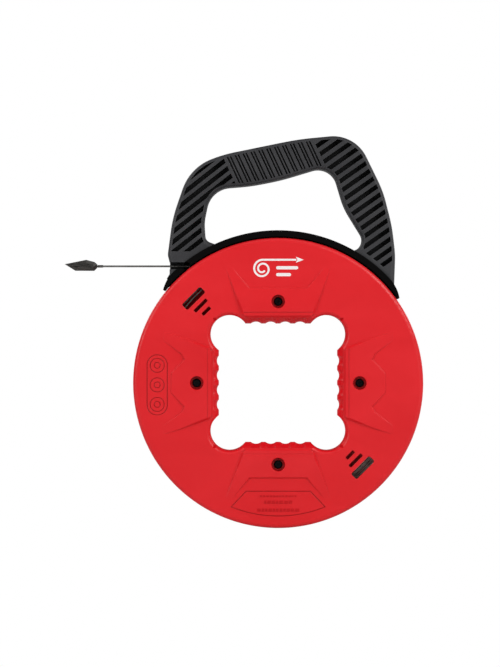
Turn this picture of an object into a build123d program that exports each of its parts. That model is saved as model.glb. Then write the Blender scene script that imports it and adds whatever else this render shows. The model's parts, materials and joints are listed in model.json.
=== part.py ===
from build123d import *
from math import cos, pi, radians, sin, sqrt, tan
import os

# A hand-held fish tape reel, in millimetres. The case turns about the Y axis through the origin,
# which is the middle of its opening at half its thickness. -Y is the front, +Z is up to the grip.
# A "level" is a distance from the middle plane towards a face.

# --- case ---
CASE_R = 152.5            # outer radius: a 12 inch case
FACE_LEVEL = 22.0         # main face of each shell
PAD_LEVEL = 25.0          # highest flat of the raised pads, so the case is 50 thick
WALL = 2.5
RIM_WALL = 3.0
RIM_ROUND = 4.5
SLOT_LEVEL = 7.0          # half the width of the open slot round the rim
LIP_R = 145.5             # the lips keep the handle's shoe in the slot
LIP_WALL = 2.5
CORE_R = 100.5            # outer face of the ring wall that the tape winds round
CORE_WALL = 2.5

# --- opening through the case ---
GRIP_TIP = 62.5           # half width between ridge tips, at the middle plane
GRIP_MOUTH = 70.5         # half width at the pads
HUB_WALL = 3.3
LOBE_AT = 51.2            # centre of each round corner, on both axes
LOBE_R = 20.3
LOBE_ROUND = 5.0
RIDGE_PITCH = 15.5
SCALLOP_COUNT = 4         # between five ridges
SCALLOP_DEPTH = 2.0
SCALLOP_WIDTH = 11.0
SCALLOP_LEVEL = 21.0      # the scallops stop short of the pads

# --- pads, bosses and ribs ---
PAD_DRAFT = 40            # degrees that the pads' sides lean in
PAD_FLAT_TO = 78.0        # distance from the axis where the pads begin to slope
PAD_ENDS_AT = 124.0
EDGE_STRIP = 4.0          # lowered strip along the mouth
EDGE_STEP = 0.6
SCREW_R = 85.6
BOSS_R = 9.0
FUNNEL_R = 7.4
FUNNEL_LEVEL = 18.0
FUNNEL_DRAFT = 10
SEAT_R = 4.6
HEAD_SEAT_LEVEL = 16.6
NUT_SEAT_LEVEL = 15.0
RIB_THICK = 2.2
RIB_ANGLES = (20, 45, 70)

# --- case fasteners: M4 ---
M4 = 4.0
M4_HOLE = 4.4
M4_HEAD = 8.6
M4_HEAD_THICK = 3.0
M4_DRIVE = 4.4
M4_NUT_FLATS = 7.0
M4_NUT_THICK = 3.2

# --- windows and panels ---
WINDOW_ANGLES = (135, 315)
WINDOWS = ((125.6, 27.0, 8.3, 1.9), (115.0, 17.9, 3.7, 0.9), (106.8, 11.0, 3.5, 0.8))
PANEL_DEPTH = 0.6
PANEL_LINE = 0.8
ICON_PANEL = (64.0, 22.0)
ICON_AT = (-127.0, -2.0)
ICON_STEP = 20.5
ICON_R = 7.8
LABEL_TOP = -113.2
LABEL_HALF_TOP = 34.0
LABEL_HALF_SIDE = 50.0
LABEL_R = 140.0

# --- tape ---
TAPE_THICK = 1.5
TAPE_WIDE = 3.2
TAPE_LENGTH = 30500.0     # wound in the case
COIL_R_IN = 126.2
COIL_R_OUT = 136.75
COIL_AT = (-2.3, 2.3)     # the springy coil lies to one side
COIL_FROM_Y = 2.2
LEADER_Z = 123.0
LEADER_TAIL_X = -10.0
LEADER_END_X = -191.0
LEADER_ROLL = 10          # degrees that it turns about its own length
FERRULE_X = (-190.6, -185.0)
FERRULE_WALL = 0.4
TIP_THICK = 5.0

# --- tape anchor on the ring wall ---
ANCHOR_ANGLE = 212.5
ANCHOR_Y = 11.0
ANCHOR_PLATE = (14.0, 10.0, 1.5)
ANCHOR_SCREW = 3.0
ANCHOR_HEAD = 5.6

# --- shoe in the rim slot ---
STRAP_R_IN = 154.0
STRAP_R_OUT = 160.5
STRAP_LEVEL = 20.0
NECK_LEVEL = 6.5
KEEPER_R_IN = 141.0
KEEPER_R_OUT = 144.9
KEEPER_LEVEL = 12.0
NECK_ANGLES = (37.5, 138.5)
TAIL_ANGLES = (35.0, 141.0)
TAIL_SPREAD = 8.0         # degrees over which each end of the strap thins
TAIL_R = 155.6
CHANNEL_LEVEL = 3.0       # half the width of the passage for the tape

# --- handle ---
HANDLE_LEVEL = 17.0
HANDLE_ROUND = 5.0
WEB_LEVEL = 4.5
RIM_BORDER = 3.3
# Each outline is a start, rounded corners with their radii, and an end. Both run on inside the shoe's
# outer radius, where the handle is cut to sit on the shoe.
OUTER = ((-114.3, 90),
         (((-114.3, 127.2), 12), ((-116.3, 134.5), 12), ((-111.2, 173.7), 150), ((-92.7, 227), 52),
          ((-57.4, 240.5), 150), ((20.5, 256.4), 300), ((81.1, 262.2), 39), ((110.6, 201.9), 120),
          ((119.9, 164.9), 150), ((123.4, 135.4), 100)),
         (121.8, 90))
INNER = ((40, 139),
         (((97.5, 139), 11.5), ((69.2, 184.9), 80), ((55.8, 229.9), 20), ((2.9, 214), 250),
          ((-28.9, 207.8), 200), ((-70.6, 204.5), 26), ((-77.9, 170.1), 50), ((-76.5, 149.7), 8)),
         (-39, 136))
JAW = ((-117.35, 109.5), (-114.3, 114.5), (-110, 114.5), (-110, 105))
SLIT_Z = (119.5, 127.0)
SLIT_BACK_Y = 4.0
# Pockets: slant in degrees, distance of the first one from the axis, pitch, count and width.
LEFT_POCKETS = (38, 168.0, 8.45, 8, 4.9)
LEFT_POCKETS_FROM_Z = 138.3
LEFT_POCKETS_FROM_R = 166.5
RIGHT_POCKETS = (35, 38.7, 8.87, 17, 4.8)
RIGHT_POCKETS_FROM_R = 164.5
GRIP_SLANT = -65
GRIP_ENDS = (49.6, 139.8)
GRIP_FROM_Z = 180.0
GRIP_BORDER = 1.6
GRIP_PAIRS = 11
GRIP_GROOVE = 1.8
GRIP_APART = 1.5          # half the distance between the grooves of a pair
GRIP_GROOVE_DEPTH = 3.0

# --- shoe screws: 4 mm thread-forming ---
SHOE_SCREW = 4.0
SHOE_SCREW_HOLE = 4.3
SHOE_HEAD = 7.4
SHOE_HEAD_THICK = 2.6
SIDE_SCREW_ANGLE = 125.0
SIDE_SCREW_Y = 11.0
SIDE_SCREW_END_R = 167.5
MIDDLE_SCREW_ANGLES = (47.0, 56.0)
MIDDLE_SCREW_END_R = 173.0
SHOE_DRIVE = 3.6

# --- tape guide ---
GUIDE_X = (-113.5, -99.5)
GUIDE_FRONT_Y = -8.0
GUIDE_WALL = 1.1

FRONT = Plane.XZ          # local x is +X, local y is +Z, and it faces -Y
SIDE = Plane(origin=(0, 0, 0), x_dir=(0, 0, 1), z_dir=(1, 0, 0))  # local x is +Z, local y is -Y


def polar(radius, angle):
    """A point at this radius and angle in degrees."""
    return radius * cos(radians(angle)), radius * sin(radians(angle))


def radial_plane(radius, angle, y=0.0):
    """A plane on a circle about the Y axis that faces away from the axis."""
    x, z = polar(1, angle)
    return Plane(origin=(radius * x, y, radius * z), x_dir=(0, 1, 0), z_dir=(x, 0, z))


def sector(r_in, r_out, start, end):
    """A flat piece of a ring."""
    with BuildSketch() as piece:
        with BuildLine():
            CenterArc((0, 0), r_out, start, end - start)
            Line(polar(r_out, end), polar(r_in, end))
            CenterArc((0, 0), r_in, end, start - end)
            Line(polar(r_in, start), polar(r_out, start))
        make_face()
    return piece.sketch


def barrel_square(half_width, reach):
    """A square through the case whose four sides bulge in by an arc, narrowest in the middle."""
    mouth = half_width + GRIP_MOUTH - GRIP_TIP
    with BuildPart() as barrel:
        for plane, mode in ((SIDE, Mode.ADD), (Plane.XY, Mode.INTERSECT)):
            with BuildSketch(plane):
                with BuildLine():
                    ThreePointArc((mouth, -PAD_LEVEL), (half_width, 0), (mouth, PAD_LEVEL))
                    Polyline((mouth, PAD_LEVEL), (mouth + 1, reach), (-mouth - 1, reach), (-mouth, PAD_LEVEL))
                    ThreePointArc((-mouth, PAD_LEVEL), (-half_width, 0), (-mouth, -PAD_LEVEL))
                    Polyline((-mouth, -PAD_LEVEL), (-mouth - 1, -reach), (mouth + 1, -reach),
                             (mouth, -PAD_LEVEL))
                make_face()
            extrude(amount=mouth + 5, both=True, mode=mode)
    return barrel


# ---------------------------------------------------------------- tools for the case's shells

# The opening: a bulging square, with a round lobe at each corner that is rounded over at the face.
opening = barrel_square(GRIP_TIP, 32)
lobe_top = FACE_LEVEL + 0.3
with BuildPart() as lobe:
    with BuildSketch(SIDE):
        with BuildLine():
            Polyline((0, -1), (LOBE_R, -1), (LOBE_R, lobe_top - LOBE_ROUND))
            CenterArc((LOBE_R + LOBE_ROUND, lobe_top - LOBE_ROUND), LOBE_ROUND, 180, -90)
            Polyline((LOBE_R + LOBE_ROUND, lobe_top), (LOBE_R + LOBE_ROUND, 32), (0, 32), (0, -1))
        make_face()
    revolve(axis=Axis.Y)

# Scallops between the ridges of the top side. They follow the bulge, so each is a piece of a torus.
bulge = GRIP_MOUTH - GRIP_TIP
bulge_r = (PAD_LEVEL**2 + bulge**2) / (2 * bulge)
scallop_r = SCALLOP_WIDTH**2 / (8 * SCALLOP_DEPTH) + SCALLOP_DEPTH / 2
scallop_path_r = bulge_r - SCALLOP_DEPTH + scallop_r
with BuildPart() as scallops:
    with Locations((0, 0, GRIP_TIP + bulge_r)):
        with GridLocations(RIDGE_PITCH, 1, SCALLOP_COUNT, 1):
            Torus(scallop_path_r, scallop_r, rotation=(0, 90, 0))
    with BuildSketch(FRONT):
        with Locations((0, GRIP_TIP - scallop_r)):
            Rectangle(RIDGE_PITCH * (SCALLOP_COUNT + 2), 4 * scallop_r)
    extrude(amount=SCALLOP_LEVEL, both=True, mode=Mode.INTERSECT)

# Pads, drawn above the opening: the first number runs along the side, the second away from the axis.
PAD_TOP_HALF = ((37.5, 68), (48, 97), (56, 121), (48, 122), (29.5, 101))
PAD_SIDE_HALF = ((37.5, 68), (49, 100), (55, 121), (44, 121), (29.5, 102.5), (25, 100.5), (10.5, 113.5))


def raised_pad(half_outline):
    """A pad that is 3 high at the opening and sinks into the face further out."""
    other_half = [(-u, v) for u, v in reversed(half_outline)]
    with BuildPart() as pad:
        with BuildSketch(FRONT.offset(FACE_LEVEL - 1)):
            with BuildLine():
                Polyline(*half_outline, *other_half, close=True)
            make_face()
        extrude(amount=PAD_LEVEL - FACE_LEVEL + 1, taper=PAD_DRAFT)
        with BuildSketch(SIDE):
            with BuildLine():
                Polyline((PAD_FLAT_TO, PAD_LEVEL), (PAD_ENDS_AT, FACE_LEVEL - 0.2), (PAD_ENDS_AT, 30),
                         (PAD_FLAT_TO, 30), close=True)
            make_face()
            with BuildLine():
                Polyline((60, PAD_LEVEL - EDGE_STEP), (GRIP_MOUTH + EDGE_STRIP, PAD_LEVEL - EDGE_STEP),
                         (GRIP_MOUTH + EDGE_STRIP, 30), (60, 30), close=True)
            make_face()
        extrude(amount=70, both=True, mode=Mode.SUBTRACT)
    return pad


pad_top = raised_pad(PAD_TOP_HALF)
pad_side = raised_pad(PAD_SIDE_HALF)

with BuildPart() as hub:
    add(barrel_square(GRIP_TIP + HUB_WALL, 32).part)
    with BuildSketch(FRONT):
        Rectangle(4 * GRIP_MOUTH, 4 * GRIP_MOUTH)
    extrude(amount=FACE_LEVEL - WALL / 2, mode=Mode.INTERSECT)
    with BuildSketch(FRONT):
        with GridLocations(2 * LOBE_AT, 2 * LOBE_AT, 2, 2):
            Circle(LOBE_R + HUB_WALL)
        with PolarLocations(SCREW_R, 4):
            Circle(BOSS_R)
        for quarter in range(4):
            for angle in RIB_ANGLES:
                with PolarLocations((GRIP_MOUTH + CORE_R) / 2, 1, start_angle=90 * quarter + angle):
                    Rectangle(CORE_R - GRIP_MOUTH - 3, RIB_THICK)
    extrude(amount=FACE_LEVEL - WALL / 2)

# Both shells come from one mould: this is the front one, and the rear one is it turned half round Z.
with BuildPart() as shell_blank:
    with BuildSketch(SIDE):
        with BuildLine():
            Polyline((GRIP_TIP, FACE_LEVEL - WALL), (GRIP_TIP, FACE_LEVEL), (CASE_R - RIM_ROUND, FACE_LEVEL))
            CenterArc((CASE_R - RIM_ROUND, FACE_LEVEL - RIM_ROUND), RIM_ROUND, 90, -90)
            Polyline((CASE_R, FACE_LEVEL - RIM_ROUND), (CASE_R, SLOT_LEVEL), (LIP_R, SLOT_LEVEL),
                     (LIP_R, SLOT_LEVEL + LIP_WALL), (CASE_R - RIM_WALL, SLOT_LEVEL + LIP_WALL),
                     (CASE_R - RIM_WALL, FACE_LEVEL - WALL), (CORE_R, FACE_LEVEL - WALL), (CORE_R, 0),
                     (CORE_R - CORE_WALL, 0), (CORE_R - CORE_WALL, FACE_LEVEL - WALL),
                     (GRIP_TIP, FACE_LEVEL - WALL))
        make_face()
    revolve(axis=Axis.Y)
    add(hub.part)
    for turn in (0, 180):
        add(pad_top.part, rotation=(0, turn, 0))
        add(pad_side.part, rotation=(0, turn + 90, 0))

    add(opening.part, mode=Mode.SUBTRACT)
    with Locations(*[(x, 0, z) for x in (-LOBE_AT, LOBE_AT) for z in (-LOBE_AT, LOBE_AT)]):
        add(lobe.part, mode=Mode.SUBTRACT)
    for turn in (0, 90, 180, 270):
        add(scallops.part, rotation=(0, turn, 0), mode=Mode.SUBTRACT)

    # Windows onto the wound tape, each across its diagonal.
    with BuildSketch(FRONT.offset(FACE_LEVEL - WALL - 1)):
        for angle in WINDOW_ANGLES:
            for radius, length, width, corner in WINDOWS:
                with PolarLocations(radius, 1, start_angle=angle):
                    RectangleRounded(width, length, corner)
    extrude(amount=WALL + 2, mode=Mode.SUBTRACT)

    # A sunk panel of three plain signs, and the outline of a label panel.
    with BuildSketch(FRONT.offset(FACE_LEVEL - PANEL_DEPTH)):
        with Locations(ICON_AT):
            SlotOverall(*ICON_PANEL, rotation=90)
            SlotOverall(ICON_PANEL[0] - 2 * PANEL_LINE, ICON_PANEL[1] - 2 * PANEL_LINE, rotation=90,
                        mode=Mode.SUBTRACT)
            with GridLocations(0, ICON_STEP, 1, 3):
                Circle(ICON_R)
                Circle(ICON_R - PANEL_LINE, mode=Mode.SUBTRACT)
                Circle(ICON_R * 0.45)
                Circle(ICON_R * 0.45 - PANEL_LINE, mode=Mode.SUBTRACT)
    extrude(amount=2, mode=Mode.SUBTRACT)
    with BuildSketch(FRONT.offset(FACE_LEVEL - PANEL_DEPTH)):
        with BuildLine():
            label_side = (LABEL_HALF_SIDE, -sqrt((LABEL_R - 0.5) ** 2 - LABEL_HALF_SIDE**2))
            Polyline((-label_side[0], label_side[1]), (-LABEL_HALF_TOP, LABEL_TOP),
                     (LABEL_HALF_TOP, LABEL_TOP), label_side)
            ThreePointArc(label_side, (0, -LABEL_R), (-label_side[0], label_side[1]))
        make_face()
        offset(amount=-PANEL_LINE, mode=Mode.SUBTRACT)
    extrude(amount=2, mode=Mode.SUBTRACT)

    # Funnels over the screws.
    with BuildSketch(FRONT.offset(PAD_LEVEL)):
        with PolarLocations(SCREW_R, 4):
            Circle(FUNNEL_R)
    extrude(amount=FUNNEL_LEVEL - PAD_LEVEL, taper=FUNNEL_DRAFT, mode=Mode.SUBTRACT)
    with BuildSketch(FRONT):
        with PolarLocations(SCREW_R, 4):
            Circle(M4_HOLE / 2)
    extrude(amount=PAD_LEVEL, mode=Mode.SUBTRACT)

with BuildPart() as case_front_shell:
    add(shell_blank.part)
    with BuildSketch(FRONT.offset(HEAD_SEAT_LEVEL)):
        with PolarLocations(SCREW_R, 4):
            Circle(SEAT_R)
    extrude(amount=PAD_LEVEL - HEAD_SEAT_LEVEL, mode=Mode.SUBTRACT)

with BuildPart() as case_rear_shell:
    add(shell_blank.part, rotation=(0, 0, 180))
    with BuildSketch(FRONT.offset(-NUT_SEAT_LEVEL)):
        with PolarLocations(SCREW_R, 4, rotate=False):
            RegularPolygon(M4_NUT_FLATS / 2 + 0.15, 6, major_radius=False)
    extrude(amount=NUT_SEAT_LEVEL - PAD_LEVEL, mode=Mode.SUBTRACT)
    with BuildSketch(radial_plane(CORE_R - CORE_WALL - 1, ANCHOR_ANGLE, ANCHOR_Y)):
        Circle(ANCHOR_SCREW / 2 + 0.15)
    extrude(amount=CORE_WALL + 2, mode=Mode.SUBTRACT)


# ---------------------------------------------------------------- fasteners

def screw(seat, head, head_thick, shank, length, drive):
    """A round-headed screw: its head stands on this plane and its shank runs behind it."""
    with BuildPart() as made:
        with BuildSketch(seat):
            Circle(head / 2)
        extrude(amount=head_thick)
        chamfer(made.faces().sort_by(Axis(seat.origin, seat.z_dir))[-1].edges(), head_thick * 0.25)
        with BuildSketch(seat):
            Circle(shank / 2)
        extrude(amount=-length)
        with BuildSketch(seat.offset(head_thick)):
            RegularPolygon(drive / 2, 6)
        extrude(amount=-head_thick * 0.6, mode=Mode.SUBTRACT)
    return made


def nut(seat):
    """An M4 nut that lies on this plane."""
    with BuildPart() as made:
        with BuildSketch(seat):
            RegularPolygon(M4_NUT_FLATS / 2, 6, major_radius=False)
            Circle(M4 / 2 + 0.1, mode=Mode.SUBTRACT)
        extrude(amount=M4_NUT_THICK)
    return made


pieces = {"case_front_shell": case_front_shell, "case_rear_shell": case_rear_shell}
screw_length = HEAD_SEAT_LEVEL + NUT_SEAT_LEVEL + M4_NUT_THICK + 0.4
for place, angle in (("right", 0), ("top", 90), ("left", 180), ("bottom", 270)):
    x, z = polar(SCREW_R, angle)
    front_seat = Plane(origin=(x, -HEAD_SEAT_LEVEL, z), x_dir=(1, 0, 0), z_dir=(0, -1, 0))
    rear_seat = Plane(origin=(x, NUT_SEAT_LEVEL, z), x_dir=(1, 0, 0), z_dir=(0, 1, 0))
    pieces[f"case_screw_{place}"] = screw(front_seat, M4_HEAD, M4_HEAD_THICK, M4, screw_length, M4_DRIVE)
    pieces[f"case_nut_{place}"] = nut(rear_seat)


# ---------------------------------------------------------------- tape

# The wound tape as one ring with the volume of its whole length, at the back of the case.
coil_wide = TAPE_LENGTH * TAPE_WIDE * TAPE_THICK / (pi * (COIL_R_OUT**2 - COIL_R_IN**2))
with BuildPart() as tape_coil:
    with BuildSketch(FRONT.offset(-COIL_FROM_Y)):
        with Locations(COIL_AT):
            Circle(COIL_R_OUT)
            Circle(COIL_R_IN, mode=Mode.SUBTRACT)
    extrude(amount=-coil_wide)
pieces["tape_coil"] = tape_coil

# The tape's inner end is held on the ring wall by a plate and a screw.
plate_plane = radial_plane(CORE_R + 0.1, ANCHOR_ANGLE, ANCHOR_Y)
with BuildPart() as tape_anchor_clip:
    with BuildSketch(plate_plane):
        RectangleRounded(ANCHOR_PLATE[1], ANCHOR_PLATE[0], 1.5)
        Circle(ANCHOR_SCREW / 2 + 0.15, mode=Mode.SUBTRACT)
    extrude(amount=ANCHOR_PLATE[2])
pieces["tape_anchor_clip"] = tape_anchor_clip
pieces["tape_anchor_screw"] = screw(
    plate_plane.offset(ANCHOR_PLATE[2]), ANCHOR_HEAD, 1.8, ANCHOR_SCREW, ANCHOR_PLATE[2] + CORE_WALL + 3, 2.6
)

# The stretch that comes out at the nose, its ferrule and its point.
with BuildPart() as tape_leader:
    with BuildSketch(Plane.YZ.offset(LEADER_END_X)):
        with Locations((0, LEADER_Z)):
            Rectangle(TAPE_WIDE, TAPE_THICK, rotation=LEADER_ROLL)
    extrude(amount=LEADER_TAIL_X - LEADER_END_X)
pieces["tape_leader"] = tape_leader

with BuildPart() as tip_ferrule:
    with BuildSketch(Plane.YZ.offset(FERRULE_X[0])):
        with Locations((0, LEADER_Z)):
            RectangleRounded(TAPE_WIDE + 2 * FERRULE_WALL, TAPE_THICK + 2 * FERRULE_WALL, FERRULE_WALL,
                             rotation=LEADER_ROLL)
            Rectangle(TAPE_WIDE, TAPE_THICK, rotation=LEADER_ROLL, mode=Mode.SUBTRACT)
    extrude(amount=FERRULE_X[1] - FERRULE_X[0])
pieces["tip_ferrule"] = tip_ferrule

# A flat spear point, thinned to an edge along its outline.
TIP_OUTLINE = ((-191.0, 125.0), (-194.0, 127.6), (-202.8, 129.9), (-225.6, 125.3), (-214.2, 118.3),
               (-194.3, 118.2), (-191.0, 121.4))
with BuildPart() as leader_tip:
    with BuildSketch(FRONT):
        with BuildLine():
            Polyline(*TIP_OUTLINE, close=True)
        make_face()
    extrude(amount=TIP_THICK / 2, both=True, taper=55)
pieces["leader_tip"] = leader_tip


# ---------------------------------------------------------------- shoe in the rim slot

with BuildPart() as rim_shoe:
    with BuildSketch(FRONT):
        start, end = TAIL_ANGLES
        with BuildLine():
            CenterArc((0, 0), STRAP_R_OUT, start + TAIL_SPREAD, end - start - 2 * TAIL_SPREAD)
            CenterArc((0, 0), STRAP_R_IN, start, end - start)
            for tail, side in ((start, 1), (end, -1)):
                x, z = polar(side, tail + side * TAIL_SPREAD)
                TangentArc(polar(STRAP_R_OUT, tail + side * TAIL_SPREAD), polar(TAIL_R, tail), tangent=(z, -x))
                Line(polar(TAIL_R, tail), polar(STRAP_R_IN, tail))
        make_face()
    extrude(amount=STRAP_LEVEL, both=True)
    with BuildSketch(FRONT):
        add(sector(KEEPER_R_IN, STRAP_R_IN + 1, *NECK_ANGLES))
    extrude(amount=NECK_LEVEL, both=True)
    with BuildSketch(FRONT):
        add(sector(KEEPER_R_IN, KEEPER_R_OUT, *NECK_ANGLES))
    extrude(amount=KEEPER_LEVEL, both=True)
    # The tape's way out, which is open to the front beyond the rim.
    with BuildSketch(FRONT):
        with Locations((-90, sum(SLIT_Z) / 2)):
            Rectangle(70, SLIT_Z[1] - SLIT_Z[0])
    extrude(amount=CHANNEL_LEVEL, both=True, mode=Mode.SUBTRACT)
    with BuildSketch(FRONT.offset(-SLIT_BACK_Y)):
        with Locations((-115, sum(SLIT_Z) / 2)):
            Rectangle(44, SLIT_Z[1] - SLIT_Z[0])
        Circle(STRAP_R_IN - 0.2, mode=Mode.SUBTRACT)
    extrude(amount=STRAP_LEVEL + SLIT_BACK_Y + 1, mode=Mode.SUBTRACT)
    # Seats and holes for the screws that go out into the handle.
    for angle in MIDDLE_SCREW_ANGLES:
        with BuildSketch(radial_plane(KEEPER_R_IN - 1, angle)):
            Circle(SHOE_HEAD / 2 + 0.2)
        extrude(amount=1.3 + SHOE_HEAD_THICK, mode=Mode.SUBTRACT)
        with BuildSketch(radial_plane(KEEPER_R_IN - 1, angle)):
            Circle(SHOE_SCREW_HOLE / 2)
        extrude(amount=30, mode=Mode.SUBTRACT)
    for y in (-SIDE_SCREW_Y, SIDE_SCREW_Y):
        with BuildSketch(radial_plane(STRAP_R_IN - 1, SIDE_SCREW_ANGLE, y)):
            Circle(SHOE_HEAD / 2 + 0.2)
        extrude(amount=1.3 + SHOE_HEAD_THICK, mode=Mode.SUBTRACT)
        with BuildSketch(radial_plane(STRAP_R_IN - 1, SIDE_SCREW_ANGLE, y)):
            Circle(SHOE_SCREW_HOLE / 2)
        extrude(amount=30, mode=Mode.SUBTRACT)
pieces["rim_shoe"] = rim_shoe


# ---------------------------------------------------------------- handle

def bands(slant, first, pitch, count, width):
    """Parallel bars at this slant; their distances from the axis run from first in steps of pitch."""
    with BuildSketch() as bars:
        for index in range(count):
            distance = first + index * pitch
            with Locations((-distance * sin(radians(slant)), distance * cos(radians(slant)))):
                Rectangle(900, width, rotation=slant)
    return bars.sketch


def band(slant, low, high):
    """One bar between two distances from the axis."""
    return bands(slant, (low + high) / 2, 0, 1, high - low)


def rounded_path(start, corners, end):
    """Draws straight runs from start to end with an arc at each corner, in the line that is open."""
    here = Vector(*start)
    points = [point for point, _ in corners] + [end]
    for (point, radius), following in zip(corners, points[1:]):
        corner = Vector(*point)
        before = (corner - here).normalized()
        after = (Vector(*following) - corner).normalized()
        half_turn = radians(before.get_angle(after)) / 2
        run = radius * tan(half_turn)
        middle = corner + (after - before).normalized() * radius * (1 / cos(half_turn) - 1)
        Line(here, corner - before * run)
        ThreePointArc(corner - before * run, middle, corner + after * run)
        here = corner + after * run
    Line(here, end)


with BuildSketch() as silhouette:
    with BuildLine():
        rounded_path(*OUTER)
        Line(OUTER[-1], OUTER[0])
    make_face()

with BuildSketch() as hand_opening:
    with BuildLine():
        rounded_path(*INNER)
        Line(INNER[-1], INNER[0])
    make_face()

# The handle less a border along both of its edges.
with BuildSketch() as inside_border:
    add(silhouette.sketch)
    offset(amount=-RIM_BORDER, mode=Mode.REPLACE)
    add(offset(hand_opening.sketch, RIM_BORDER, mode=Mode.PRIVATE), mode=Mode.SUBTRACT)

# Deep slanting pockets in both legs, up to the borders of the grip.
with BuildSketch() as left_pockets:
    add(inside_border.sketch)
    add(band(GRIP_SLANT, -400, GRIP_ENDS[0] - GRIP_BORDER), mode=Mode.INTERSECT)
    add(band(0, LEFT_POCKETS_FROM_Z, 400), mode=Mode.INTERSECT)
    Circle(LEFT_POCKETS_FROM_R, mode=Mode.SUBTRACT)
    add(bands(*LEFT_POCKETS), mode=Mode.INTERSECT)

with BuildSketch() as right_pockets:
    add(inside_border.sketch)
    add(band(GRIP_SLANT, GRIP_ENDS[1] + GRIP_BORDER, 500), mode=Mode.INTERSECT)
    Circle(RIGHT_POCKETS_FROM_R, mode=Mode.SUBTRACT)
    add(bands(*RIGHT_POCKETS), mode=Mode.INTERSECT)

# Pairs of narrow grooves between the ribs under the fingers.
grip_pitch = (GRIP_ENDS[1] - GRIP_ENDS[0]) / GRIP_PAIRS
with BuildSketch() as grip_grooves:
    add(inside_border.sketch)
    add(band(GRIP_SLANT, *GRIP_ENDS), mode=Mode.INTERSECT)
    add(band(0, GRIP_FROM_Z, 300), mode=Mode.INTERSECT)
    middles = [GRIP_ENDS[0] + grip_pitch * (index + 0.5) for index in range(GRIP_PAIRS)]
    grooves = [band(GRIP_SLANT, middle + side * GRIP_APART - GRIP_GROOVE / 2,
                    middle + side * GRIP_APART + GRIP_GROOVE / 2)
               for middle in middles for side in (-1, 1)]
    add(Sketch() + grooves, mode=Mode.INTERSECT)

with BuildPart() as handle_body:
    with BuildSketch(FRONT):
        add(silhouette.sketch)
        add(hand_opening.sketch, mode=Mode.SUBTRACT)
    extrude(amount=HANDLE_LEVEL, both=True)
    face_edges = handle_body.faces().filter_by(Axis.Y).edges()
    fillet(face_edges.filter_by_position(Axis.Z, OUTER[0][1] + 1, 300), HANDLE_ROUND)
    with BuildSketch(FRONT):
        with BuildLine():
            Polyline(*JAW, close=True)
        make_face()
    extrude(amount=HANDLE_LEVEL - HANDLE_ROUND, both=True)
    with BuildSketch(FRONT):
        Circle(STRAP_R_OUT)
    extrude(amount=HANDLE_LEVEL, both=True, mode=Mode.SUBTRACT)
    for side in (1, -1):
        with BuildSketch(FRONT.offset(side * WEB_LEVEL)):
            add(left_pockets.sketch)
            add(right_pockets.sketch)
        extrude(amount=side * HANDLE_LEVEL, mode=Mode.SUBTRACT)
        with BuildSketch(FRONT.offset(side * (HANDLE_LEVEL - GRIP_GROOVE_DEPTH))):
            add(grip_grooves.sketch)
        extrude(amount=side * HANDLE_LEVEL, mode=Mode.SUBTRACT)
    # The slit for the tape, closed at the back.
    with BuildSketch(FRONT.offset(-SLIT_BACK_Y)):
        with Locations((-110, sum(SLIT_Z) / 2)):
            Rectangle(40, SLIT_Z[1] - SLIT_Z[0])
    extrude(amount=HANDLE_LEVEL + SLIT_BACK_Y + 1, mode=Mode.SUBTRACT)
    # Holes for the shoe's screws.
    for angle in MIDDLE_SCREW_ANGLES:
        with BuildSketch(radial_plane(STRAP_R_OUT - 1, angle)):
            Circle(SHOE_SCREW_HOLE / 2)
        extrude(amount=MIDDLE_SCREW_END_R + 0.5 - STRAP_R_OUT + 1, mode=Mode.SUBTRACT)
    for y in (-SIDE_SCREW_Y, SIDE_SCREW_Y):
        with BuildSketch(radial_plane(STRAP_R_OUT - 1, SIDE_SCREW_ANGLE, y)):
            Circle(SHOE_SCREW_HOLE / 2)
        extrude(amount=SIDE_SCREW_END_R + 0.5 - STRAP_R_OUT + 1, mode=Mode.SUBTRACT)
pieces["handle_body"] = handle_body

# Screws from inside the shoe: two through its middle on the right, one at each side on the left.
middle_seat_r = KEEPER_R_IN + 0.3 + SHOE_HEAD_THICK
side_seat_r = STRAP_R_IN + 0.3 + SHOE_HEAD_THICK
for name, angle, y, seat_r, end_r in (
    ("shoe_screw_lower_right", MIDDLE_SCREW_ANGLES[0], 0, middle_seat_r, MIDDLE_SCREW_END_R),
    ("shoe_screw_upper_right", MIDDLE_SCREW_ANGLES[1], 0, middle_seat_r, MIDDLE_SCREW_END_R),
    ("shoe_screw_front_left", SIDE_SCREW_ANGLE, -SIDE_SCREW_Y, side_seat_r, SIDE_SCREW_END_R),
    ("shoe_screw_rear_left", SIDE_SCREW_ANGLE, SIDE_SCREW_Y, side_seat_r, SIDE_SCREW_END_R),
):
    seat = -radial_plane(seat_r, angle, y)
    pieces[name] = screw(seat, SHOE_HEAD, SHOE_HEAD_THICK, SHOE_SCREW, end_r - seat_r, SHOE_DRIVE)

# A channel in the slit that the tape slides in, open to the front.
with BuildPart() as tape_guide:
    with BuildSketch(Plane.YZ.offset(GUIDE_X[0])):
        with Locations(((GUIDE_FRONT_Y + SLIT_BACK_Y) / 2, sum(SLIT_Z) / 2)):
            Rectangle(SLIT_BACK_Y - GUIDE_FRONT_Y, SLIT_Z[1] - SLIT_Z[0])
        with Locations(((GUIDE_FRONT_Y - GUIDE_WALL + SLIT_BACK_Y) / 2 - 1, sum(SLIT_Z) / 2)):
            Rectangle(SLIT_BACK_Y - GUIDE_FRONT_Y - GUIDE_WALL + 2, SLIT_Z[1] - SLIT_Z[0] - 2 * GUIDE_WALL,
                      mode=Mode.SUBTRACT)
    extrude(amount=GUIDE_X[1] - GUIDE_X[0])
pieces["tape_guide"] = tape_guide


# ---------------------------------------------------------------- files

os.makedirs("parts", exist_ok=True)
for name, piece in pieces.items():
    piece.part.label = name
    export_step(piece.part, f"parts/{name}.step")
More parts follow.
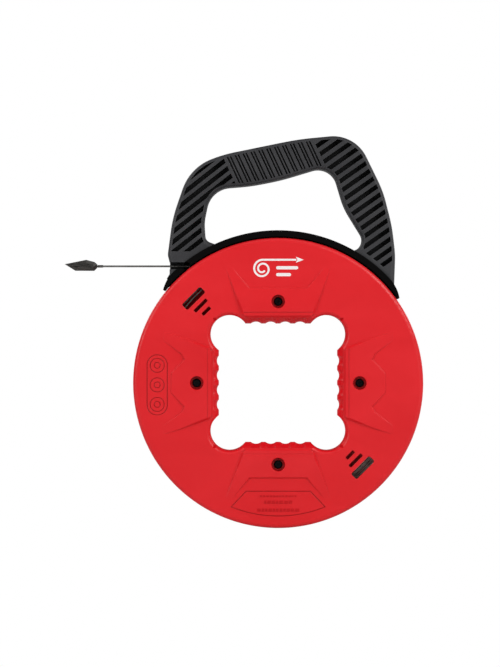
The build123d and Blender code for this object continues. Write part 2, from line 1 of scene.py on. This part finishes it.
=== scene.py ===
"""Looks of the fish tape reel: materials, the wound tape, the marks on the case and the studio."""
import json
import math
import random

import bpy
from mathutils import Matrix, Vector


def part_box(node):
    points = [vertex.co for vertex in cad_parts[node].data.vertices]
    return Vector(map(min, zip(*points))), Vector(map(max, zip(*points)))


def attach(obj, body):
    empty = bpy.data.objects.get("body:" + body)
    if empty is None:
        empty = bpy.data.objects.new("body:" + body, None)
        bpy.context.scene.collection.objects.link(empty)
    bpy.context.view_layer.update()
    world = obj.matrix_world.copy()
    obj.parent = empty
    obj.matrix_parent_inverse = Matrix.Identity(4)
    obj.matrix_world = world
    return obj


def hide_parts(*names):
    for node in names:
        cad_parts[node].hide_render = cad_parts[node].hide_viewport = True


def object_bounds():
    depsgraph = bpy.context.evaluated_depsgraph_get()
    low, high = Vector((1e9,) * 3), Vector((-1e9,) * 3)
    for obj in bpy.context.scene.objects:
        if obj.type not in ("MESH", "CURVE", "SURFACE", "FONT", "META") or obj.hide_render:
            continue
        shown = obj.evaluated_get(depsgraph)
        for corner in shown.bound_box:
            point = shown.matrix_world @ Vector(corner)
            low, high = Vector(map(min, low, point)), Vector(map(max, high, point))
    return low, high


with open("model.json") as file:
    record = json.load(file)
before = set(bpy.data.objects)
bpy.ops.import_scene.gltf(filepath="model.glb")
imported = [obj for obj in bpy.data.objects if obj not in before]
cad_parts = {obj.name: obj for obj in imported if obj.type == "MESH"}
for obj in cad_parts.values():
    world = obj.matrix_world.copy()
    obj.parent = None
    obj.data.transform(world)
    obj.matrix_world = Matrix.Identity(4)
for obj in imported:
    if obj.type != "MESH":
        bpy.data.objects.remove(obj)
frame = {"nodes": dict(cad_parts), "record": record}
CAD_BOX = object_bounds()
NODES = frame["nodes"]
MM = 0.001


# ---------------------------------------------------------------- sizes, in millimetres

FACE_Y = -22.0 * MM       # in metres: the case's main front face, which the pads stand out of

TAPE_WIDE = 3.2
TAPE_THICK = 1.5
TAPE_CORNER = 0.35

# The wound tape: turns side by side in layers, and one last turn, sprung loose in front of them.
COIL_LAYERS = 7
COIL_LAYER_GAP = 0.02
COIL_TURNS = 35
COIL_FIRST = 212.5        # angle where the first turn starts, at the anchor
COIL_STEPS = 120          # per turn
COIL_STRAY = 0.28         # how far a turn strays from its place
COIL_SEED = 7
LOOSE_TURN = (            # radius and Y at each knot
    (133.7, 3.8),
    (136.0, -3.0),
    (127.6, -6.6),
    (125.2, -7.5),
    (129.0, -7.0),
    (132.5, -6.0),
    (133.5, -4.0),
    (131.0, -1.5),
)
LOOSE_KNOT_EVERY = 60.0   # degrees
LOOSE_STEPS = 20          # per knot

# The white mark on the case: a spiral whose end runs out to an arrowhead, and bars under that line.
INK_THICK = 0.05
SPIRAL_AT = (-16.6, 119.8)
SPIRAL_R = 9.6
SPIRAL_TURNS = 1.65
SPIRAL_PITCH = 4.1
SPIRAL_STEPS = 110
MARK_STROKE = 2.0
MARK_LINE_X = (-10.6, 3.4, 19.0)
ARROWHEAD = ((18.5, -3.2), (26.8, 0.0), (18.5, 3.2), (20.2, 0.0))  # X, and height over the line
BAR_X_LOW = -2.2
BAR_HIGH = 3.4
BARS = ((21.0, 8.4), (13.5, 15.6))  # X of the far end, and drop below the line
BAR_END_STEPS = 8

# Rows of raised dashes in the label panel: height of the row, half its width, height of a dash, dashes.
LABEL_ROWS = (
    (-118.6, 19.0, 1.6, 12),
    (-124.9, 14.5, 3.0, 7),
    (-133.2, 22.0, 3.0, 11),
)
LABEL_GAP = 1.3
LABEL_RAISE = 0.5
LABEL_SINK = 0.1          # how far the dashes reach into the face
LABEL_SEED = 11


# ---------------------------------------------------------------- materials

class Material:
    """A node material around one Principled shader."""

    def __init__(self, name, **inputs):
        self.made = bpy.data.materials.new(name)
        self.made.use_nodes = True
        self.tree = self.made.node_tree
        self.shader = self.tree.nodes["Principled BSDF"]
        self.place = self.node("ShaderNodeTexCoord").outputs["Object"]
        for key, value in inputs.items():
            self.shader.inputs[key.replace("_", " ")].default_value = value

    def node(self, kind, inputs=None, **settings):
        """Adds a node. An input is a value, or the output of another node."""
        made = self.tree.nodes.new(kind)
        for key, value in settings.items():
            setattr(made, key, value)
        for key, value in (inputs or {}).items():
            self.feed(made.inputs[key], value)
        return made

    def feed(self, socket, value):
        """Links a socket to another node's output, or sets it to a value."""
        if isinstance(value, bpy.types.NodeSocket):
            self.tree.links.new(value, socket)
        else:
            socket.default_value = value

    def set(self, name, value):
        """Feeds an input of the Principled shader."""
        self.feed(self.shader.inputs[name], value)

    def noise(self, per_metre, detail=3.0, stretch=(1, 1, 1), distortion=0.0):
        """Noise over the object, from 0 to 1."""
        place = self.node("ShaderNodeMapping", {"Vector": self.place, "Scale": stretch})
        return self.node(
            "ShaderNodeTexNoise",
            {
                "Vector": place.outputs["Vector"],
                "Scale": per_metre,
                "Detail": detail,
                "Distortion": distortion,
            },
        ).outputs["Fac"]

    def spread(self, value, low, high, low_in=0.3, high_in=0.7):
        """The value moved from one range to another."""
        return self.node(
            "ShaderNodeMapRange",
            {"Value": value, "From Min": low_in, "From Max": high_in, "To Min": low, "To Max": high},
        ).outputs["Result"]

    def mix(self, share, first, second):
        """A colour between two colours."""
        made = self.node("ShaderNodeMix", data_type="RGBA")
        self.feed(made.inputs["Factor"], share)
        for socket, colour in zip([s for s in made.inputs if s.type == "RGBA"], (first, second)):
            self.feed(socket, colour)
        return next(s for s in made.outputs if s.type == "RGBA")

    def vector_math(self, operation, *values):
        """A node that works on vectors."""
        return self.node("ShaderNodeVectorMath", dict(enumerate(values)), operation=operation)

    def number_math(self, operation, *values, use_clamp=False):
        """The result of a calculation on numbers."""
        made = self.node(
            "ShaderNodeMath", dict(enumerate(values)), operation=operation, use_clamp=use_clamp
        )
        return made.outputs["Value"]

    def edges(self, radius):
        """From 0 on a flat to about 1 on a sharp edge, and the rounded normal there."""
        rounded = self.node("ShaderNodeBevel", {"Radius": radius}, samples=6).outputs["Normal"]
        flat = self.node("ShaderNodeNewGeometry").outputs["Normal"]
        along = self.vector_math("DOT_PRODUCT", rounded, flat).outputs["Value"]
        return self.spread(along, 1.0, 0.0, 0.75, 1.0), rounded

    def recess(self, reach):
        """From 0 on an open face to 1 deep in a groove, pocket or funnel of the same piece."""
        openness = self.node(
            "ShaderNodeAmbientOcclusion", {"Distance": reach}, samples=8, only_local=True
        ).outputs["AO"]
        return self.spread(openness, 1.0, 0.0, 0.30, 0.90)

    def wall(self, reach):
        """1 on the walls that run front to back within this distance of the axis, and 0 elsewhere."""
        across = self.vector_math("MULTIPLY", self.place, (1, 0, 1)).outputs["Vector"]
        radius = self.vector_math("LENGTH", across).outputs["Value"]
        near = self.spread(radius, 1.0, 0.0, reach - 0.001, reach)
        normal = self.node("ShaderNodeNewGeometry").outputs["True Normal"]
        facing = self.vector_math("DOT_PRODUCT", normal, (0, 1, 0)).outputs["Value"]
        steep = self.spread(self.number_math("ABSOLUTE", facing), 1.0, 0.0, 0.35, 0.75)
        return self.number_math("MULTIPLY", near, steep)

    def bump(self, height, depth, normal=None):
        """The normal of a relief this deep, in metres."""
        inputs = {"Height": height, "Distance": depth, "Strength": 1.0}
        if normal is not None:
            inputs["Normal"] = normal
        return self.node("ShaderNodeBump", inputs).outputs["Normal"]


def rgb(red, green, blue):
    """An opaque colour."""
    return (red, green, blue, 1.0)


# How far around a point its recess is felt, in metres, for the painted shade: for pockets and funnels,
# and for the scallops.
RECESS_REACH = 0.014
SCALLOP_REACH = 0.006

# The painted shade on the walls of the case's opening and funnels: a darker red on the ridges, deeper
# in the scallops between them and darkest in the funnels.
WALL_SHADE_RED = rgb(0.70, 0.004, 0.010)
SCALLOP_SHADE_RED = rgb(0.42, 0.003, 0.006)
FUNNEL_SHADE_RED = rgb(0.16, 0.002, 0.004)
INNER_SPECULAR = 0.02


def moulded_plastic(
    name, colour, shade, edge_highlight, deep, roughness, grain, edge_radius, specular, inner_walls=None
):
    """Moulded plastic: a fine spark-eroded grain, faint flow marks, painted highlights on the edges,
    painted shade in the recesses.

    inner_walls is the distance from the axis within which the walls are matt and painted darker as
    shade, darkest in the scallops and the funnels.
    """
    m = Material(name, Specular_IOR_Level=specular)
    edge_wear_and_highlight, rounded = m.edges(edge_radius)
    flow = m.noise(9, 2.0, (1.0, 1.0, 2.2), 0.6)
    tone = m.mix(m.spread(flow, 0.0, 1.0, 0.35, 0.65), shade, colour)
    # The edge colour mixed in along edges is a painted highlight.
    tone = m.mix(m.spread(edge_wear_and_highlight, 0.0, 0.55, 0.25, 1.0), tone, edge_highlight)
    # The deep colour mixed in by the recess is painted shade in grooves, pockets and funnels.
    recess = m.recess(RECESS_REACH)
    tone = m.mix(recess, tone, deep)
    if inner_walls:
        wall = m.wall(inner_walls)
        # Painted shade: darker red on the walls, deeper in the scallops' valleys, darkest in the
        # funnels.
        scallop_shade = m.mix(m.recess(SCALLOP_REACH), WALL_SHADE_RED, SCALLOP_SHADE_RED)
        deepest = m.spread(recess, 0.0, 1.0, 0.7, 1.0)
        tone = m.mix(wall, tone, m.mix(deepest, scallop_shade, FUNNEL_SHADE_RED))
        m.set("Specular IOR Level", m.spread(wall, specular, INNER_SPECULAR, 0.0, 1.0))
    m.set("Base Color", tone)
    fine = m.noise(grain, 2.0)
    cloudy = m.noise(45, 3.0)
    grained = m.spread(fine, roughness - 0.05, roughness + 0.05)
    m.set("Roughness", m.number_math("ADD", grained, m.spread(cloudy, -0.03, 0.03)))
    m.set("Normal", m.bump(fine, 0.00004, rounded))
    return m.made


def steel(name, dark, light, roughness, stretch, specks, edge_radius=0.0002):
    """Tempered steel: drawn lines along one direction, a stained tone and bright worn edges."""
    m = Material(name, Metallic=1.0)
    edge_wear_and_highlight, rounded = m.edges(edge_radius)
    drawn = m.noise(900, 4.0, stretch)
    stain = m.noise(60, 4.0, (1, 1, 1), 0.8)
    streaks = m.spread(drawn, 0.0, 0.6)
    stained = m.number_math("ADD", streaks, m.spread(stain, -specks, specks + 0.4), use_clamp=True)
    tone = m.mix(stained, rgb(*dark), rgb(*light))
    bright = rgb(*(min(1.0, 1.6 * c) for c in light))
    m.set("Base Color", m.mix(m.spread(edge_wear_and_highlight, 0.0, 0.7, 0.2, 1.0), tone, bright))
    m.set("Roughness", m.spread(drawn, roughness - 0.08, roughness + 0.1))
    m.set("Normal", m.bump(drawn, 0.00002, rounded))
    return m.made


def ink(name):
    """White pad-printed ink, a little uneven, thin enough that the red warms it."""
    m = Material(name, Specular_IOR_Level=0.35)
    coverage = m.noise(1400, 2.0)
    thin, full = rgb(0.86, 0.80, 0.79), rgb(0.95, 0.94, 0.93)
    m.set("Base Color", m.mix(m.spread(coverage, 0.0, 1.0), thin, full))
    m.set("Roughness", m.spread(m.noise(700, 2.0), 0.38, 0.5))
    m.set("Normal", m.bump(coverage, 0.00001))
    return m.made


RED = moulded_plastic(
    "case_red",
    colour=rgb(0.765, 0.018, 0.024),
    shade=rgb(0.715, 0.014, 0.019),
    edge_highlight=rgb(0.85, 0.055, 0.055),
    deep=rgb(0.42, 0.004, 0.006),
    roughness=0.36,
    grain=1600,
    edge_radius=0.0008,
    specular=0.27,
    inner_walls=0.098,
)
# The dashes are the same red plastic as the case, in a darker tone: painted shade of the moulded
# letters.
LABEL_SHADE_RED = moulded_plastic(
    "label_painted_shade_red",
    colour=rgb(0.620, 0.009, 0.013),
    shade=rgb(0.560, 0.007, 0.011),
    edge_highlight=rgb(0.66, 0.030, 0.034),
    deep=rgb(0.30, 0.003, 0.005),
    roughness=0.40,
    grain=1600,
    edge_radius=0.0002,
    specular=0.20,
)
HANDLE_GREY = moulded_plastic(
    "handle_dark",
    colour=rgb(0.043, 0.043, 0.046),
    shade=rgb(0.030, 0.030, 0.033),
    edge_highlight=rgb(0.190, 0.190, 0.200),
    deep=rgb(0.006, 0.006, 0.0065),
    roughness=0.55,
    grain=1300,
    edge_radius=0.0006,
    specular=0.30,
)
SHOE_BLACK = moulded_plastic(
    "shoe_black",
    colour=rgb(0.0025, 0.0022, 0.0022),
    shade=rgb(0.002, 0.0018, 0.0018),
    edge_highlight=rgb(0.006, 0.006, 0.006),
    deep=rgb(0.001, 0.001, 0.001),
    roughness=0.50,
    grain=1500,
    edge_radius=0.0004,
    specular=0.05,
)
TAPE_STEEL = steel(
    "tape_steel",
    dark=(0.10, 0.10, 0.097),
    light=(0.24, 0.235, 0.225),
    roughness=0.38,
    stretch=(0.05, 1, 1),
    specks=0.25,
)
# The wound tape is the same steel as the leader tape, in a much lighter tone: painted light on the
# turns seen through the windows.
COIL_STEEL_PAINTED_LIGHT = steel(
    "coil_steel_painted_light",
    dark=(0.26, 0.26, 0.235),
    light=(0.62, 0.62, 0.57),
    roughness=0.40,
    stretch=(1, 1, 1),
    specks=0.25,
)
TIP_STEEL = steel(
    "tip_steel",
    dark=(0.04, 0.038, 0.036),
    light=(0.13, 0.125, 0.118),
    roughness=0.40,
    stretch=(0.2, 1, 1),
    specks=0.3,
    edge_radius=0.0003,
)
GUIDE_STEEL = steel(
    "guide_steel",
    dark=(0.01, 0.01, 0.011),
    light=(0.03, 0.03, 0.032),
    roughness=0.42,
    stretch=(0.1, 1, 1),
    specks=0.2,
)
SCREW_STEEL = steel(
    "screw_black",
    dark=(0.006, 0.006, 0.007),
    light=(0.02, 0.02, 0.022),
    roughness=0.42,
    stretch=(1, 1, 1),
    specks=0.2,
)
ZINC = steel(
    "zinc_plate",
    dark=(0.42, 0.42, 0.43),
    light=(0.60, 0.60, 0.61),
    roughness=0.32,
    stretch=(1, 1, 1),
    specks=0.3,
)
INK = ink("white_ink")

SLOT_MATERIALS = {
    "case_plastic": RED,
    "handle_plastic": HANDLE_GREY,
    "shoe_plastic": SHOE_BLACK,
    "tape_steel": TAPE_STEEL,
    "tip_steel": TIP_STEEL,
    "guide_steel": GUIDE_STEEL,
    "black_screw": SCREW_STEEL,
    "zinc_steel": ZINC,
}


def finish_cad_nodes():
    """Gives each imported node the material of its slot."""
    for part in frame["record"]["subparts"]:
        for slot in NODES[part["node"]].material_slots:
            slot.material = SLOT_MATERIALS[part["material_slot"]]


# ---------------------------------------------------------------- meshes

def new_piece(name, vertices, faces, material, body):
    """A mesh piece, in metres, that rides on a body."""
    mesh = bpy.data.meshes.new(name)
    mesh.from_pydata([tuple(v) for v in vertices], [], faces)
    mesh.validate()
    mesh.materials.append(material)
    piece = bpy.data.objects.new(name, mesh)
    bpy.context.scene.collection.objects.link(piece)
    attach(piece, body)
    return piece


def strip(path, deep, wide, corner=0.0):
    """Vertices and faces of a bar along a path. deep is its size along Y, wide the size across."""
    d, w, c = deep / 2, wide / 2, corner
    if corner:
        half = ((d, w - c), (d - c, w), (c - d, w), (-d, w - c))
    else:
        half = ((d, w), (-d, w))
    section = half + tuple((-y, -side) for y, side in half)
    vertices, faces = [], []
    last = len(path) - 1
    for index, point in enumerate(path):
        ahead = path[min(index + 1, last)] - path[max(index - 1, 0)]
        across = Vector((ahead.z, 0, -ahead.x)).normalized()
        vertices += [point + Vector((0, y, 0)) + across * side for y, side in section]
    count = len(section)
    for index in range(last):
        for corner_index in range(count):
            a = index * count + corner_index
            b = index * count + (corner_index + 1) % count
            faces.append((a, b, b + count, a + count))
    faces.append(tuple(reversed(range(count))))
    faces.append(tuple(range(last * count, last * count + count)))
    return vertices, faces


def joined(parts):
    """Several lists of vertices and faces as one."""
    vertices, faces = [], []
    for more_vertices, more_faces in parts:
        offset = len(vertices)
        vertices += more_vertices
        faces += [tuple(i + offset for i in face) for face in more_faces]
    return vertices, faces


# ---------------------------------------------------------------- wound tape

def between(knots, place):
    """A smooth value at this place along evenly spaced knots."""
    last = len(knots) - 1
    index = min(int(place), last - 1)
    before, here, following, after = (
        Vector(knots[min(max(i, 0), last)]) for i in range(index - 1, index + 3)
    )
    t = place - index
    bend = 2 * before - 5 * here + 4 * following - after
    twist = 3 * (here - following) + after - before
    return here + 0.5 * t * (following - before + t * (bend + t * twist))


def around(radius, angle, y):
    """A point at this angle round the Y axis."""
    return Vector((radius * math.cos(angle), y, radius * math.sin(angle)))


def wound_tape():
    """The whole tape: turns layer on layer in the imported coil's place, and a last loose turn."""
    low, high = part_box("tape_coil")
    centre = (low + high) / 2
    step = (TAPE_THICK + COIL_LAYER_GAP) * MM
    r_in = (high.x - low.x) / 2 - COIL_LAYERS * step
    y_front = low.y + TAPE_WIDE * MM / 2
    y_back = high.y - TAPE_WIDE * MM / 2
    turns = COIL_TURNS + (360 - COIL_FIRST) / 360
    draw = random.Random(COIL_SEED)
    stray = [(draw.uniform(-1, 1), draw.uniform(-1, 1)) for _ in range(COIL_TURNS + 3)]
    path = []
    for index in range(round(turns * COIL_STEPS)):
        turn = index / COIL_STEPS
        angle = 2 * math.pi * turn + math.radians(COIL_FIRST)
        # The layers run to the front and to the back in turn, and slow down at their ends.
        layer, along = divmod(turn * COIL_LAYERS / turns, 1.0)
        ease = along * along * (3 - 2 * along)
        back = 1 - ease if layer % 2 == 0 else ease
        out, sway = between(stray, turn) * COIL_STRAY * MM
        radius = r_in + (layer + 0.5) * step + out
        y = y_front + (y_back - y_front) * back + sway
        path.append(Vector((centre.x, 0, centre.z)) + around(radius, angle, y))
    for index in range(1, (len(LOOSE_TURN) - 1) * LOOSE_STEPS + 1):
        knot = index / LOOSE_STEPS
        radius, y = between(LOOSE_TURN, knot)
        path.append(around(radius, math.radians(LOOSE_KNOT_EVERY * knot), y) * MM)
    vertices, faces = strip(path, TAPE_WIDE * MM, TAPE_THICK * MM, TAPE_CORNER * MM)
    coil = new_piece("wound_tape", vertices, faces, COIL_STEEL_PAINTED_LIGHT, "case")
    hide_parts("tape_coil")


# ---------------------------------------------------------------- marks on the case

def flat_point(x, z, y):
    """A point with X and Z in millimetres, at a Y in metres."""
    return Vector((x * MM, y, z * MM))


def capsule(x_low, x_high, z, height):
    """Outline of a bar with round ends, in millimetres, as a list of (x, z)."""
    radius = height / 2
    outline = []
    for middle, first in ((x_high - radius, -90), (x_low + radius, 90)):
        for index in range(BAR_END_STEPS + 1):
            angle = math.radians(first + 180 * index / BAR_END_STEPS)
            outline.append((middle + radius * math.cos(angle), z + radius * math.sin(angle)))
    return outline


def plate(outline, y_front, y_back):
    """A flat closed piece with this outline, which runs anticlockwise seen from the front."""
    count = len(outline)
    vertices = [flat_point(x, z, y) for y in (y_front, y_back) for x, z in outline]
    faces = [tuple(range(count)), tuple(reversed(range(count, 2 * count)))]
    faces += [((i + 1) % count, i, i + count, (i + 1) % count + count) for i in range(count)]
    return vertices, faces


def white_mark():
    """A plain sign of a coil whose end runs out to a point, in white ink."""
    front = FACE_Y - INK_THICK * MM
    middle = (front + FACE_Y) / 2
    centre_x, centre_z = SPIRAL_AT
    inner = SPIRAL_R - SPIRAL_PITCH * SPIRAL_TURNS
    line = []
    for index in range(SPIRAL_STEPS + 1):
        share = index / SPIRAL_STEPS
        angle = math.pi / 2 + 2 * math.pi * SPIRAL_TURNS * (1 - share)
        radius = inner + (SPIRAL_R - inner) * share
        x = centre_x + radius * math.cos(angle)
        z = centre_z + radius * math.sin(angle)
        line.append(flat_point(x, z, middle))
    line_z = centre_z + SPIRAL_R
    line += [flat_point(x, line_z, middle) for x in MARK_LINE_X]
    parts = [strip(line, INK_THICK * MM, MARK_STROKE * MM)]
    parts.append(plate([(x, line_z + high) for x, high in ARROWHEAD], front, FACE_Y))
    for x_high, drop in BARS:
        parts.append(plate(capsule(BAR_X_LOW, x_high, line_z - drop, BAR_HIGH), front, FACE_Y))
    vertices, faces = joined(parts)
    new_piece("white_mark", vertices, faces, INK, "case")


def label_dashes():
    """Rows of raised dashes in place of the moulded words."""
    draw = random.Random(LABEL_SEED)
    parts = []
    for z, half, height, count in LABEL_ROWS:
        shares = [draw.uniform(0.6, 1.4) for _ in range(count)]
        unit = (2 * half - LABEL_GAP * (count - 1)) / sum(shares)
        x = -half
        for share in shares:
            x_end = x + unit * share
            low, high = z - height / 2, z + height / 2
            outline = ((x, low), (x_end, low), (x_end, high), (x, high))
            parts.append(plate(outline, FACE_Y - LABEL_RAISE * MM, FACE_Y + LABEL_SINK * MM))
            x = x_end + LABEL_GAP
    vertices, faces = joined(parts)
    new_piece("label_dashes", vertices, faces, LABEL_SHADE_RED, "case")


# ---------------------------------------------------------------- studio

VIEW_CENTRE = Vector((-0.0296, 0, 0.052))
VIEW_HIGH = 0.700         # height of the picture at the case's face
LENS = 150.0
SENSOR = 36.0

# Each softbox: its name, place, size and power. They stand so that no front face glares.
SOFTBOXES = (
    ("key", (1.8, -1.5, 1.35), (1.3, 1.3), 42),
    ("fill", (-1.8, -1.5, 0.9), (1.2, 1.4), 26),
    ("top", (0.0, -0.8, 2.2), (1.6, 1.0), 6),
    ("back_key", (-1.7, 1.5, 1.4), (1.3, 1.3), 18),
    ("back_fill", (1.8, 1.5, 0.9), (1.2, 1.4), 13),
)
LIGHT_AIM = Vector((0, 0, 0.05))
SURROUND_LIGHT = 0.118
FLOOR_GREY = 0.80
FLOOR_REACH = 60.0


def camera():
    """Looks straight at the case's face from the front."""
    data = bpy.data.cameras.new("camera")
    data.lens = LENS
    data.sensor_width = SENSOR
    made = bpy.data.objects.new("camera", data)
    bpy.context.scene.collection.objects.link(made)
    distance = VIEW_HIGH * LENS / SENSOR
    made.location = VIEW_CENTRE + Vector((0, FACE_Y - distance, 0))
    made.rotation_euler = (math.radians(90), 0, 0)
    bpy.context.scene.camera = made


def softbox(name, place, size, power):
    """A square lamp that faces the object."""
    data = bpy.data.lights.new(name, "AREA")
    data.shape = "RECTANGLE"
    data.size, data.size_y = size
    data.energy = power
    made = bpy.data.objects.new(name, data)
    bpy.context.scene.collection.objects.link(made)
    made.location = place
    made.rotation_euler = (LIGHT_AIM - made.location).to_track_quat("-Z", "Y").to_euler()


def surround():
    """A surround that lights the object softly and is white behind it."""
    world = bpy.data.worlds.new("surround")
    bpy.context.scene.world = world
    world.use_nodes = True
    tree = world.node_tree
    lighting = tree.nodes["Background"]
    lighting.inputs["Color"].default_value = rgb(SURROUND_LIGHT, SURROUND_LIGHT, SURROUND_LIGHT)
    white = tree.nodes.new("ShaderNodeBackground")
    white.inputs["Color"].default_value = rgb(1.0, 1.0, 1.0)
    chosen = tree.nodes.new("ShaderNodeMixShader")
    ray = tree.nodes.new("ShaderNodeLightPath")
    tree.links.new(ray.outputs["Is Camera Ray"], chosen.inputs["Fac"])
    tree.links.new(lighting.outputs["Background"], chosen.inputs[1])
    tree.links.new(white.outputs["Background"], chosen.inputs[2])
    tree.links.new(chosen.outputs["Shader"], tree.nodes["World Output"].inputs["Surface"])


def floor():
    """A pale floor that lights the object from below and isn't seen itself."""
    grey = rgb(FLOOR_GREY, FLOOR_GREY, FLOOR_GREY)
    m = Material("floor_white", Roughness=1.0, Specular_IOR_Level=0.0, Base_Color=grey)
    signs = ((-1, -1), (1, -1), (1, 1), (-1, 1))
    corners = [(FLOOR_REACH * x, FLOOR_REACH * y, CAD_BOX[0].z) for x, y in signs]
    mesh = bpy.data.meshes.new("floor")
    mesh.from_pydata(corners, [], [(0, 1, 2, 3)])
    mesh.materials.append(m.made)
    made = bpy.data.objects.new("floor", mesh)
    bpy.context.scene.collection.objects.link(made)
    made.visible_camera = False


def studio():
    """Light from the sides and above, in front and behind, on a white ground."""
    for name, place, size, power in SOFTBOXES:
        softbox(name, place, size, power)
    surround()
    floor()
    bpy.context.scene.view_settings.view_transform = "Standard"


finish_cad_nodes()
wound_tape()
white_mark()
label_dashes()
camera()
studio()
